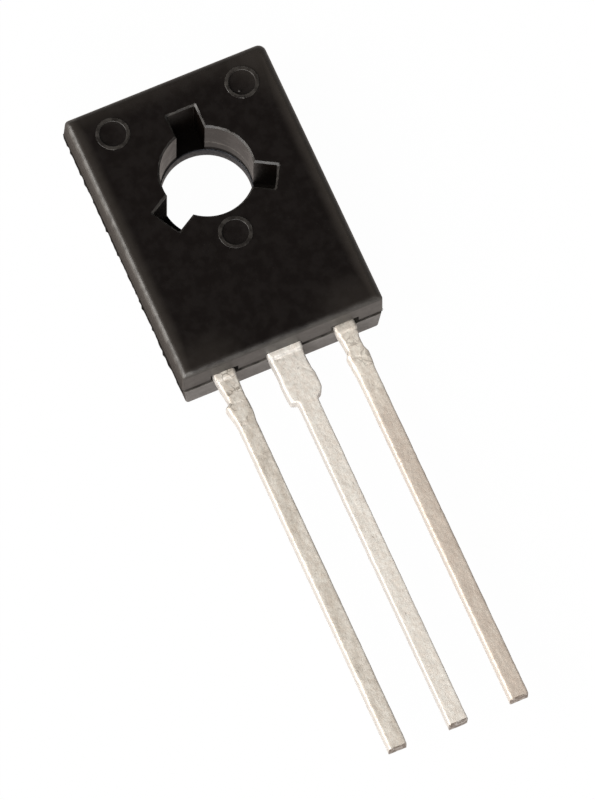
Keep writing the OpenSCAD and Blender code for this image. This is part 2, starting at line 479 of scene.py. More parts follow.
for number, spot in enumerate(MARKS):
    ring = add_round("ring", spot, MARK_RADIUS, FRONT_FACE - 0.2, RING_TOP, sides=48)
    edit(ring)
    choose(ring, "EDGE", level_edge(RING_TOP))
    bevel(RING_ROUND, 3)
    choose(ring, "VERT", lambda v: v.co.z > (FRONT_FACE - 0.01) * MM)
    shake(RING_SHAKE, number)
    leave()
    combine(case, ring, "UNION")
    dish = add_round("dish", spot, MARK_RADIUS - RING_WIDTH, DISH_FLOOR, FRONT_FACE + 1, sides=64)
    round_edges(dish, level_edge(DISH_FLOOR), DISH_ROUND, 3)
    combine(case, dish, "DIFFERENCE")

for spot in CRUMBS:
    deselect()
    centre = metres(*spot, FRONT_FACE - 0.01)
    bpy.ops.mesh.primitive_uv_sphere_add(
        segments=16, ring_count=8, radius=CRUMB_RADIUS * MM, location=centre
    )
    combine(case, place(bpy.context.object), "UNION")
report(case)

# %% [markdown]
# ## Openings for the metal
#
# The plate lies bare in the back of the case, and each lead leaves through the end wall. The
# outer two stand in small pockets. The slots are cut with plain blocks a hair larger than the
# metal that fills them.

# %% Pockets, lead slots and the plate's bed
PITCH = 2.29
PLATE_HALF = 2.74
PLATE_NEAR = LEAD_END + 1.95
PLATE_FAR = FAR_END - 1
PLATE_CUT = 0.4
POCKET_DEPTH = 0.3
POCKET_TOP = LEAD_TOP + 0.19
SLOT_BOTTOM = LEAD_BOTTOM - 0.01
SLOT_HALF = 0.4


def cut_opening(left, right, bottom, top):
    """Cuts a square opening into the end wall."""
    low = (left, LEAD_END - 1, bottom)
    high = (right, LEAD_END + POCKET_DEPTH, top)
    combine(case, add_block("opening", low, high), "DIFFERENCE")


for middle in (-PITCH, PITCH):
    cut_opening(middle - 0.50, middle + 0.54, PARTING, POCKET_TOP)
    cut_opening(middle - SLOT_HALF, middle + SLOT_HALF, SLOT_BOTTOM, LEAD_TOP)
cut_opening(-0.67, 0.66, SLOT_BOTTOM, LEAD_TOP + 0.02)


def add_plate(name, low_z, high_z, half_width, near_end, far_end):
    """Flat plate with its two far corners clipped."""
    plate = add_block(name, (-half_width, near_end, low_z), (half_width, far_end, high_z))
    far_corner = lambda e: near(e.verts[0].co.y, far_end) and rise_of(e) > 0.1 * MM
    round_edges(plate, far_corner, PLATE_CUT * math.sqrt(0.5), 1)
    return plate


bed = add_plate("bed", -1, STRIP, PLATE_HALF, PLATE_NEAR, PLATE_FAR)
combine(case, bed, "DIFFERENCE")
soften(case)
apply_modifier(case, "WEIGHTED_NORMAL", keep_sharp=True)
report(case)

# %% [markdown]
# ## Leads
#
# The three leads are blanked from one strip. Below the case each keeps the stubs of the bar that
# joined them until it was cut away. A short block is grown down the lead by extruding its end
# face from stretch to stretch, each with its own left and right edge, because the cut stubs are
# never even.

# %% Grow a lead from its end face
def grow(piece, stretches):
    """Extrudes the lowest end face through (y, left, right) stretches, in millimetres."""
    edit(piece)
    mesh = bmesh.from_edit_mesh(piece.data)
    end_y = min(v.co.y for v in mesh.verts)
    choose(piece, "FACE", lambda f: all(abs(v.co.y - end_y) < 1e-7 for v in f.verts))
    for y, left, right in stretches:
        mesh = bmesh.from_edit_mesh(piece.data)
        now = [v.co.copy() for v in mesh.verts if v.select]
        low_x, high_x = min(c.x for c in now), max(c.x for c in now)
        step = Vector((0, y * MM - now[0].y, 0))
        extrude(step)
        middle = Vector(((low_x + high_x) / 2, y * MM, now[0].z))
        widen = (right - left) * MM / (high_x - low_x)
        resize((widen, 1, 1), middle)
        shift = (left + right) / 2 * MM - middle.x
        move((shift, 0, 0))
    leave()


ROOT = LEAD_END + 0.06
STUB = ROOT - 1.15
# Smoothing draws each tip in by this much
SHRINK = 0.03
EMITTER_EDGES = [
    (ROOT - 0.15, -0.385, 0.385),
    (ROOT - 0.6, -0.345, 0.375),
    (STUB + 0.1, -0.275, 0.36),
    (STUB - 0.02, -0.30, 0.36),
    (STUB - 0.10, -0.465, 0.375),
    (STUB - 0.45, -0.40, 0.395),
    (STUB - 0.72, -0.345, 0.38),
    (STUB - 0.95, -0.325, 0.345),
    (LEAD_TIP - SHRINK + 0.03, -0.32, 0.35),
]
BASE_EDGES = [
    (ROOT - 0.22, -0.395, 0.335),
    (ROOT - 0.52, -0.36, 0.335),
    (ROOT - 0.62, -0.345, 0.30),
    (STUB + 0.12, -0.315, 0.30),
    (STUB - 0.02, -0.415, 0.35),
    (STUB - 0.12, -0.41, 0.385),
    (STUB - 0.5, -0.385, 0.38),
    (STUB - 0.78, -0.355, 0.34),
    (LEAD_TIP - SHRINK + 0.02, -0.34, 0.345),
]
MIDDLE_EDGES = [
    (ROOT - 0.2, -0.65, 0.61),
    (ROOT - 0.6, -0.63, 0.58),
    (STUB + 0.1, -0.62, 0.60),
    (STUB - 0.1, -0.64, 0.655),
    (STUB - 0.5, -0.63, 0.655),
    (STUB - 0.66, -0.615, 0.645),
    (STUB - 0.84, -0.60, 0.55),
    (STUB - 0.92, -0.375, 0.42),
    (STUB - 1.02, -0.36, 0.35),
    (LEAD_TIP - SHRINK, -0.36, 0.345),
]
print("stretches:", len(EMITTER_EDGES), len(BASE_EDGES), len(MIDDLE_EDGES))

# %% [markdown]
# ### From blank to dipped tin
#
# A blanked edge is rolled over, more on one side, and the tin bath rounds what is left and
# freezes with a faint swell. A fine remesh and a little smoothing roll every edge in one go, and
# a very small displacement by two cloud patterns gives the swell and the grit a real shape.

# %% Soften a grown lead
def cloud_texture(name, size):
    texture = bpy.data.textures.new(name, "CLOUDS")
    texture.noise_scale = size * MM
    texture.noise_depth = 2
    return texture


swell = cloud_texture("tin_swell", 0.45)
grit = cloud_texture("tin_grit", 0.13)
SWELL_HEIGHT = 0.02
GRIT_HEIGHT = 0.01
VOXEL = 0.03
SMOOTH_ROUNDS = 4


def dip_in_tin(piece):
    """Rounds the edges of a lead and gives its surface the swell and grit of frozen tin."""
    apply_modifier(piece, "REMESH", mode="VOXEL", voxel_size=VOXEL * MM)
    apply_modifier(piece, "SMOOTH", factor=0.5, iterations=SMOOTH_ROUNDS)
    for texture, height in ((swell, SWELL_HEIGHT), (grit, GRIT_HEIGHT)):
        settings = {"texture": texture, "texture_coords": "LOCAL", "strength": height * MM}
        apply_modifier(piece, "DISPLACE", **settings)


# The bonding post, and where the lead that grows out of the case begins
POST_WIDTH = 1.95
POST_FAR = LEAD_END + 1.5
POST_NEAR = LEAD_END + 0.6
INSIDE = LEAD_END + 0.25
LEAD_WIDTH = 0.7
# Share of the lead's thickness that the post's neck keeps inside it
NECK_SHARE = 0.9
LEFT_ROLL = 0.13
RIGHT_ROLL = 0.06
# A pad of tin: how deep it sits in the lead and in the case, the share of its height that it
# loses down the lead, and the radius of its edges
PAD_SINK = 0.2
PAD_BACK = 0.15
PAD_FALL = 0.6
PAD_ROUND = 0.12
CREASE_WIDTH = 0.12


def runs_along(edge, side):
    """True for a top edge that runs along one side of a blank."""
    return level_edge(LEAD_TOP)(edge) and all(near(v.co.x, side) for v in edge.verts)


def rolled_blank(name, left, right):
    """Short block with its top edges rolled over, the left one more than the right one."""
    blank = add_block(name, (left, INSIDE - 0.1, LEAD_BOTTOM), (right, INSIDE + 0.1, LEAD_TOP))
    edit(blank)
    for side, roll in ((left, LEFT_ROLL), (right, RIGHT_ROLL)):
        choose(blank, "EDGE", lambda e: runs_along(e, side))
        bevel(roll, 4)
    leave()
    return blank


def add_pad(lead, left, right, reach, height):
    """Tin that froze against the case: a rounded pad that slopes down the lead."""
    lower_end = LEAD_END - reach
    top = LEAD_TOP + height
    low = (left, lower_end, LEAD_TOP - PAD_SINK)
    pad = add_block("pad", low, (right, LEAD_END + PAD_BACK, top))
    edit(pad)
    choose(pad, "VERT", lambda v: near(v.co.z, top) and near(v.co.y, lower_end))
    move(metres(0, 0, -PAD_FALL * height))
    choose(pad, "EDGE", lambda e: any(v.co.z > LEAD_TOP * MM for v in e.verts))
    bevel(PAD_ROUND, 5)
    leave()
    combine(lead, pad, "UNION")


def add_crease(lead, start, end, depth):
    """A shallow groove between two points of the top face."""
    run = Vector((end[0] - start[0], end[1] - start[1], 0))
    half = CREASE_WIDTH / 2
    cutter = add_block("crease", (-run.length / 2, -half, -half), (run.length / 2, half, half))
    lift = LEAD_TOP + half * math.sqrt(2) - depth
    cutter.location = metres((start[0] + end[0]) / 2, (start[1] + end[1]) / 2, lift)
    cutter.rotation_euler = (math.radians(45), 0, math.atan2(run.y, run.x))
    place(cutter)
    combine(lead, cutter, "DIFFERENCE")


def outer_lead(name, centre, edges, pad, creases):
    """Bonding post inside the case and the lead that grows from it."""
    lead = rolled_blank(name, centre + edges[0][1], centre + edges[0][2])
    grow(lead, [(y, left + centre, right + centre) for y, left, right in edges])
    add_pad(lead, centre + pad[0], centre + pad[1], pad[2], pad[3])
    for start, end in creases:
        add_crease(lead, start, end, OUTER_DEPTH)
    dip_in_tin(lead)
    low = (centre - POST_WIDTH / 2, POST_NEAR, LEAD_BOTTOM)
    post = add_block("post", low, (centre + POST_WIDTH / 2, POST_FAR, LEAD_TOP))
    edit(post)
    choose(post, "FACE", lambda f: all(near(v.co.y, POST_NEAR) for v in f.verts))
    extrude(metres(0, INSIDE - POST_NEAR, 0))
    middle = metres(centre, INSIDE, (LEAD_BOTTOM + LEAD_TOP) / 2)
    resize((LEAD_WIDTH / POST_WIDTH, 1, NECK_SHARE), middle)
    leave()
    combine(lead, post, "UNION")
    soften(lead, 60)
    report(lead)
    return lead


# Left and right edge of each pad, its reach down the lead and its height
EMITTER_PAD = (-0.43, 0.4, 0.26, 0.14)
BASE_PAD = (-0.42, 0.38, 0.32, 0.08)
MIDDLE_PAD = (-0.68, 0.63, 0.24, 0.17)
# Where each crease starts and ends, and how deep it is
OUTER_DEPTH = 0.03
MIDDLE_DEPTH = 0.025
EMITTER_CREASES = [
    ((-2.62, -7.88), (-2.2, -7.97)),
    ((-2.2, -7.97), (-1.92, -7.88)),
    ((-2.72, -8.66), (-2.3, -8.82)),
]
BASE_CREASES = [
    ((2.1, -7.98), (2.48, -8.16)),
    ((2.36, -8.42), (2.62, -8.46)),
    ((1.92, -8.7), (2.16, -8.74)),
]
MIDDLE_CREASES = [
    ((0.3, -7.62), (0.62, -7.98)),
    ((-0.5, -7.02), (-0.1, -7.08)),
]
emitter_leg = outer_lead("emitter_leg", -PITCH, EMITTER_EDGES, EMITTER_PAD, EMITTER_CREASES)
base_leg = outer_lead("base_leg", PITCH, BASE_EDGES, BASE_PAD, BASE_CREASES)

# %% [markdown]
# ## The plate and the middle lead
#
# Plate and middle lead are one stamping with an offset bend between them. The plate is a block
# with clipped corners and a round hole, a narrower block is carried on through the bend by two
# extrusions, and the visible lead is grown like the others.

# %% Plate, bend and middle lead in one piece
BEND_RUN = 0.7
BEND_HALF = 0.6
PLATE_HOLE = 1.63
HOLE_ROUND = 0.03


def is_hole_rim(edge):
    """True for an edge of the plate's top face that runs round its hole."""
    reach = (PLATE_HOLE + 0.07) * MM
    return level_edge(STRIP)(edge) and all(v.co.xy.length < reach for v in edge.verts)


collector_strip = rolled_blank("collector_strip", MIDDLE_EDGES[0][1], MIDDLE_EDGES[0][2])
grow(collector_strip, MIDDLE_EDGES)
add_pad(collector_strip, *MIDDLE_PAD)
for start, end in MIDDLE_CREASES:
    add_crease(collector_strip, start, end, MIDDLE_DEPTH)
dip_in_tin(collector_strip)

bend = add_block("bend", (-BEND_HALF, PLATE_NEAR, 0), (BEND_HALF, PLATE_NEAR + 1, STRIP))
edit(bend)
choose(bend, "FACE", lambda f: all(near(v.co.y, PLATE_NEAR) for v in f.verts))
extrude(metres(0, -BEND_RUN, LEAD_BOTTOM))
extrude(metres(0, INSIDE - (PLATE_NEAR - BEND_RUN), 0))
leave()

plate = add_plate("plate", 0, STRIP, PLATE_HALF, PLATE_NEAR, PLATE_FAR)
combine(plate, add_round("plate_hole", (0, 0), PLATE_HOLE, -1, 1, sides=128), "DIFFERENCE")
round_edges(plate, is_hole_rim, HOLE_ROUND, 2)
combine(plate, bend, "UNION")
combine(collector_strip, plate, "UNION")
soften(collector_strip, 60)
report(collector_strip)

# %% [markdown]
# ## Shared effects
#
# Plastic and metal both have a cloudy tint and a fine grain, at different scales. Each effect is
# a node group, built once. It reads the object's own coordinates in millimetres, so that its
# numbers mean real sizes, and each material mixes what it puts out in its own way.

# %% Node helpers
def new_group(name, inputs, outputs):
    """Empty shader group. Inputs have a name and a value, outputs a name and a kind."""
    group = bpy.data.node_groups.new(name, "ShaderNodeTree")
    for label, value in inputs.items():
        kind = "NodeSocketVector" if isinstance(value, tuple) else "NodeSocketFloat"
        socket = group.interface.new_socket(label, in_out="INPUT", socket_type=kind)
        socket.default_value = value
    for label, kind in outputs.items():
        group.interface.new_socket(label, in_out="OUTPUT", socket_type=kind)
    start = group.nodes.new("NodeGroupInput")
    end = group.nodes.new("NodeGroupOutput")
    return group, start, end


def add_node(tree, kind, inputs=None, **settings):
    """Adds a node, sets its properties, and sets or links its inputs."""
    node = tree.nodes.new(kind)
    for name, value in settings.items():
        setattr(node, name, value)
    for name, value in (inputs or {}).items():
        if isinstance(value, bpy.types.NodeSocket):
            tree.links.new(value, node.inputs[name])
        else:
            node.inputs[name].default_value = value
    return node


def add_math(tree, operation, first, second=0.0, clamp=False):
    inputs = {0: first, 1: second}
    return add_node(tree, "ShaderNodeMath", inputs, operation=operation, use_clamp=clamp).outputs[0]


def ramp(tree, value, low, high, to_low=0.0, to_high=1.0):
    """Value from low to high, eased into a new range and held there."""
    inputs = {"Value": value, "From Min": low, "From Max": high}
    inputs.update({"To Min": to_low, "To Max": to_high})
    node = add_node(tree, "ShaderNodeMapRange", inputs, interpolation_type="SMOOTHSTEP")
    return node.outputs["Result"]


def add_blend(tree, amount, first, second):
    """Mix of two colours; the node keeps its colour inputs at 6 and 7."""
    inputs = {0: amount, 6: first, 7: second}
    return add_node(tree, "ShaderNodeMix", inputs, data_type="RGBA").outputs[2]


def place_in_mm(tree):
    """The object's own coordinates in millimetres."""
    here = add_node(tree, "ShaderNodeTexCoord").outputs["Object"]
    node = add_node(tree, "ShaderNodeVectorMath", {0: here}, operation="SCALE")
    node.inputs["Scale"].default_value = 1000
    return node.outputs[0]


def add_noise(tree, where, scale, detail=2.0, rough=0.5):
    inputs = {"Vector": where, "Scale": scale, "Detail": detail, "Roughness": rough}
    return add_node(tree, "ShaderNodeTexNoise", inputs).outputs["Fac"]


def split(tree, vector):
    """The X, Y and Z of a vector."""
    return add_node(tree, "ShaderNodeSeparateXYZ", {"Vector": vector}).outputs


def facing(tree):
    """The X, Y and Z of the direction that a surface faces."""
    return split(tree, add_node(tree, "ShaderNodeTexCoord").outputs["Normal"])


def from_hole_axis(tree, here):
    """Distance from the screw hole's axis in millimetres."""
    across = add_math(tree, "POWER", here["X"], 2.0)
    along = add_math(tree, "POWER", here["Y"], 2.0)
    return add_math(tree, "SQRT", add_math(tree, "ADD", across, along))


def both(tree, first, second):
    """Where two masks overlap, or a mask times a share."""
    return add_math(tree, "MULTIPLY", first, second)


def either(tree, first, second):
    """The stronger of two masks."""
    return add_math(tree, "MAXIMUM", first, second)


# %% Cloudy tint and specks
def stretched_place(group, start):
    """The place in millimetres, stretched by the group's own input."""
    inputs = {0: place_in_mm(group), 1: start.outputs["Stretch"]}
    return add_node(group, "ShaderNodeVectorMath", inputs, operation="MULTIPLY").outputs[0]


def sized_noise(group, where, size, detail, rough):
    """Noise whose clouds have a size in millimetres."""
    return add_noise(group, where, add_math(group, "DIVIDE", 1.0, size), detail, rough)


tint_group, start, end = new_group(
    "cloud_and_specks",
    {"Cloud Size": 1.0, "Speck Size": 0.1, "Speck Amount": 0.1, "Stretch": (1.0, 1.0, 1.0)},
    {"Cloud": "NodeSocketFloat", "Specks": "NodeSocketFloat"},
)
where = stretched_place(tint_group, start)
cloud = sized_noise(tint_group, where, start.outputs["Cloud Size"], 4.0, 0.6)
cloud = ramp(tint_group, cloud, 0.35, 0.65)
speck = sized_noise(tint_group, where, start.outputs["Speck Size"], 1.0, 0.5)
threshold = add_math(tint_group, "SUBTRACT", 0.8, start.outputs["Speck Amount"])
upper = add_math(tint_group, "ADD", threshold, 0.08)
speck = ramp(tint_group, speck, threshold, upper)
tint_group.links.new(cloud, end.inputs["Cloud"])
tint_group.links.new(speck, end.inputs["Specks"])
print("group", tint_group.name)

# %% Fine grain
grain_group, start, end = new_group(
    "fine_grain",
    {
        "Grain Size": 0.1,
        "Grain Height": 0.002,
        "Wave Size": 1.0,
        "Wave Height": 0.002,
        "Stretch": (1.0, 1.0, 1.0),
    },
    {"Normal": "NodeSocketVector"},
)
where = stretched_place(grain_group, start)
grain = sized_noise(grain_group, where, start.outputs["Grain Size"], 3.0, 0.6)
grain = both(grain_group, grain, start.outputs["Grain Height"])
wave = sized_noise(grain_group, where, start.outputs["Wave Size"], 2.0, 0.5)
wave = both(grain_group, wave, start.outputs["Wave Height"])
height = add_math(grain_group, "ADD", grain, wave)
bump = add_node(grain_group, "ShaderNodeBump", {"Distance": MM, "Height": height})
grain_group.links.new(bump.outputs["Normal"], end.inputs["Normal"])
print("group", grain_group.name)

# %% Materials' common start and end
def new_material(name, roughness, metallic=0.0, specular=0.5):
    """Material with one plain shader, whose even values sit on its own sockets."""
    material = bpy.data.materials.new(name)
    material.use_nodes = True
    tree = material.node_tree
    shader = tree.nodes["Principled BSDF"]
    shader.inputs["Roughness"].default_value = roughness
    shader.inputs["Metallic"].default_value = metallic
    shader.inputs["Specular IOR Level"].default_value = specular
    return material, tree, shader


def use_group(tree, group, **values):
    """Places a group; a name like Cloud_Size sets the input Cloud Size."""
    node = tree.nodes.new("ShaderNodeGroup")
    node.node_tree = group
    for name, value in values.items():
        node.inputs[name.replace("_", " ")].default_value = value
    return node


def finish_surface(tree, shader, colour, rough=None, **grain):
    """Links the colour, the roughness where it varies, and the grain."""
    tree.links.new(colour, shader.inputs["Base Color"])
    if rough is not None:
        tree.links.new(rough, shader.inputs["Roughness"])
    bumps = use_group(tree, grain_group, **grain)
    tree.links.new(bumps.outputs["Normal"], shader.inputs["Normal"])


def dress(piece, material):
    piece.data.materials.clear()
    piece.data.materials.append(material)


# %% [markdown]
# ## Black epoxy
#
# The moulding compound is glass-filled and nearly black with a warm cast. Its faces are spark
# eroded, so they are matt with a fine grain. Handling leaves a paler haze where the face is
# rubbed most and wears pale whatever leans or stands proud near it. A highlight is painted along
# the left rim and along the lip below the parting line, the lead end gets a painted grey
# reflection of the table, the long sides are coarser, and shade is painted into the hollows.
# Each of these is a mask, made by place and slope. A second copy of the same recipe with less
# sheen goes on the long sides and on the walls of two notches, as painted shade.

# %% Where the epoxy is rubbed
def rubbed_haze(tree, here):
    """The far end, one corner, the long edges and the corners at the leads."""
    far = both(tree, ramp(tree, here["Y"], 2.8, 3.7), 0.42)
    corner = add_math(tree, "ADD", here["X"], here["Y"])
    corner = both(tree, ramp(tree, corner, 4.2, 7.2), 0.75)
    from_middle = add_math(tree, "ABSOLUTE", add_math(tree, "SUBTRACT", here["X"], SIDE_SHIFT))
    long_edge = both(tree, ramp(tree, from_middle, 3.15, 3.62), 0.85)
    foot_end = ramp(tree, here["Y"], LEAD_END + 1.6, LEAD_END + 0.4, 0.0, 0.36)
    foot_end = both(tree, foot_end, ramp(tree, from_middle, 1.0, 2.6))
    rubbed = either(tree, either(tree, far, corner), long_edge)
    return either(tree, rubbed, foot_end)


# %% Where it is worn pale, and where highlights are painted
def near_front(tree, here):
    return ramp(tree, here["Z"], FRONT_FACE - 0.26, FRONT_FACE - 0.16)


def wear_and_lip_highlight(tree, here, lean, uneven):
    """Wear on leaning walls near the front face and what stands proud, a painted highlight on the
    lip.
    """
    turned = add_math(tree, "MULTIPLY", add_math(tree, "SUBTRACT", 1.0, lean), 1.9, clamp=True)
    edge = both(tree, both(tree, turned, ramp(tree, lean, 0.10, 0.45)), near_front(tree, here))
    proud = ramp(tree, here["Z"], FRONT_FACE + 0.002, FRONT_FACE + 0.014)
    wear = either(tree, edge, both(tree, proud, 0.5))
    # Painted highlight along the rear half's lip below the parting line
    lip_highlight = ramp(tree, here["Z"], PARTING - 0.10, PARTING - 0.06)
    below = ramp(tree, here["Z"], PARTING + 0.02, PARTING + 0.01)
    wear = either(tree, wear, both(tree, both(tree, lip_highlight, below), 1.6))
    return add_math(tree, "MULTIPLY", wear, uneven, clamp=True)


def left_rim_highlight(tree, here, lean, uneven):
    """A painted highlight along the rim of the left side."""
    crest = both(tree, ramp(tree, lean, 0.45, 0.65), ramp(tree, lean, 0.95, 0.85))
    crest = both(tree, crest, near_front(tree, here))
    crest = both(tree, crest, ramp(tree, here["X"], -3.3, -3.5))
    return both(tree, crest, uneven)


# %% The painted grey sheen of the lead end
def lead_end_painted_sheen(tree, where, here, uneven):
    """Painted reflection of the table on the end wall: its colour, and how much it covers."""
    # Lighter on the rear half, where the painted reflection is brighter
    rear = ramp(tree, here["Z"], PARTING, PARTING - 0.06)
    end_sheen = add_blend(tree, rear, (0.044, 0.041, 0.038, 1), (0.124, 0.119, 0.114, 1))
    # Painted highlight along the top lip of the rear half
    rear_lip_highlight = ramp(tree, here["Z"], PARTING - 0.16, PARTING - 0.05)
    rear_lip_highlight = both(tree, both(tree, rear_lip_highlight, rear), uneven)
    end_sheen = add_blend(tree, rear_lip_highlight, end_sheen, (0.20, 0.19, 0.18, 1))
    end_wall = ramp(tree, facing(tree)["Y"], -0.5, -0.95)
    end_wall = both(tree, end_wall, ramp(tree, here["Y"], LEAD_END + 0.12, LEAD_END + 0.06))
    patchy = ramp(tree, add_noise(tree, where, 2.2, 3.0), 0.3, 0.7, 0.7, 1.0)
    # Brighter towards the right, as painted light
    patchy = both(tree, patchy, ramp(tree, here["X"], -3.8, 3.8, 0.66, 1.0))
    return end_sheen, both(tree, end_wall, patchy)


# %% Painted shade and roughness
def painted_shade_places(tree, here, from_axis):
    """Painted shade in the groove above the parting line, in the notches and at the bore's foot."""
    seam = ramp(tree, here["Z"], PARTING + 0.16, PARTING + 0.11)
    seam = both(tree, seam, ramp(tree, here["Z"], PARTING + 0.005, PARTING + 0.02))
    seam = both(tree, seam, ramp(tree, from_axis, 2.8, 3.0, 0.0, 0.9))
    in_notch = ramp(tree, from_axis, HOLE_RADIUS + 0.01, HOLE_RADIUS + 0.05)
    in_notch = both(tree, in_notch, ramp(tree, from_axis, 2.60, 2.55))
    in_notch = both(tree, in_notch, ramp(tree, here["Z"], FRONT_FACE - 0.08, FRONT_FACE - 0.16))
    in_bore = ramp(tree, from_axis, HOLE_RADIUS + 0.04, HOLE_RADIUS + 0.01)
    foot = both(tree, in_bore, ramp(tree, here["Z"], 0.78, 0.68))
    return seam, in_notch, foot


def epoxy_roughness(tree, here, from_axis, cloud, in_notch, foot):
    """Cloudy, higher in a notch and at the foot of the bore, highest on the coarse long sides."""
    long_side = ramp(tree, add_math(tree, "ABSOLUTE", facing(tree)["X"]), 0.80, 0.98)
    long_side = both(tree, long_side, ramp(tree, from_axis, 2.8, 3.0))
    coarse = both(tree, long_side, ramp(tree, here["Z"], 2.4, 1.5, 0.5, 0.8))
    rough_notch = both(tree, in_notch, ramp(tree, here["X"], -1.0, -1.2, 0.0, 0.95))
    rough = ramp(tree, cloud, 0.0, 1.0, 0.34, 0.41)
    rough = either(tree, rough, both(tree, foot, 0.85))
    rough = either(tree, rough, rough_notch)
    return either(tree, rough, coarse)


# %% Epoxy for the case
def make_epoxy(name, specular):
    material, tree, shader = new_material(name, 0.36, specular=specular)
    tint = use_group(tree, tint_group, Cloud_Size=0.5, Speck_Size=0.07, Speck_Amount=0.06)
    dark = (0.0044, 0.0029, 0.0025, 1)
    pale = (0.0058, 0.0040, 0.0034, 1)
    dust = (0.032, 0.027, 0.023, 1)
    wear_and_highlight_grey = (0.085, 0.078, 0.070, 1)
    rim_highlight_grey = (0.120, 0.113, 0.106, 1)
    shade_brown = (0.0030, 0.0018, 0.0012, 1)
    where = place_in_mm(tree)
    here = split(tree, where)
    lean = facing(tree)["Z"]
    from_axis = from_hole_axis(tree, here)
    uneven = ramp(tree, add_noise(tree, where, 3.5, 3.0), 0.35, 0.62, 0.2, 0.75)
    end_sheen, end_sheen_cover = lead_end_painted_sheen(tree, where, here, uneven)
    seam, in_notch, foot = painted_shade_places(tree, here, from_axis)

    colour = add_blend(tree, tint.outputs["Cloud"], dark, pale)
    colour = add_blend(tree, both(tree, tint.outputs["Specks"], 0.30), colour, dust)
    colour = add_blend(tree, rubbed_haze(tree, here), colour, dust)
    colour = add_blend(tree, wear_and_lip_highlight(tree, here, lean, uneven), colour, wear_and_highlight_grey)
    colour = add_blend(tree, left_rim_highlight(tree, here, lean, uneven), colour, rim_highlight_grey)
    colour = add_blend(tree, end_sheen_cover, colour, end_sheen)
    # Painted shade in the groove, the notches and the foot of the bore
    shaded_hollows = either(tree, either(tree, in_notch, foot), seam)
    colour = add_blend(tree, shaded_hollows, colour, shade_brown)
    rough = epoxy_roughness(tree, here, from_axis, tint.outputs["Cloud"], in_notch, foot)
    grain = {"Grain_Size": 0.06, "Grain_Height": 0.0035, "Wave_Size": 0.5, "Wave_Height": 0.006}
    finish_surface(tree, shader, colour, rough, **grain)
    return material


# %% Pour it on the case
def is_shaded_face(polygon):
    """True for the long sides, and for the walls of the notches at the top and lower left."""
    x, y = polygon.center.x / MM, polygon.center.y / MM
    upright = abs(polygon.normal.z) < 0.2
    long_side = abs(polygon.normal.x) > 0.97 and abs(x) > 3.5
    in_notch = HOLE_RADIUS + 0.02 < math.hypot(x, y) < 2.6 and (y > 1 or x < -1)
    return upright and (long_side or in_notch)


dress(case, make_epoxy("black_epoxy", 0.36))
# A copy with less sheen darkens the long sides and notch walls, as painted shade
case.data.materials.append(make_epoxy("shaded_epoxy", 0.13))
for polygon in case.data.polygons:
    if is_shaded_face(polygon):
        polygon.material_index = 1
print("sheltered faces:", sum(polygon.material_index for polygon in case.data.polygons))

# %% [markdown]
# ## Dipped tin
#
# The strip is copper under a coat of tin. The tin is pale and warm, dull rather than mirror
# bright, with darker streaks along the lead, finer mottling, small pits, wrinkles near the case
# and darker hollows. Painted shade greys its sides and lower edges. Bare metal is brown where the
# tips were cut after dipping and dark in the plate's bore. The middle lead is the palest and
# smoothest and the base lead dulls towards its tip, so the same recipe is poured three times.

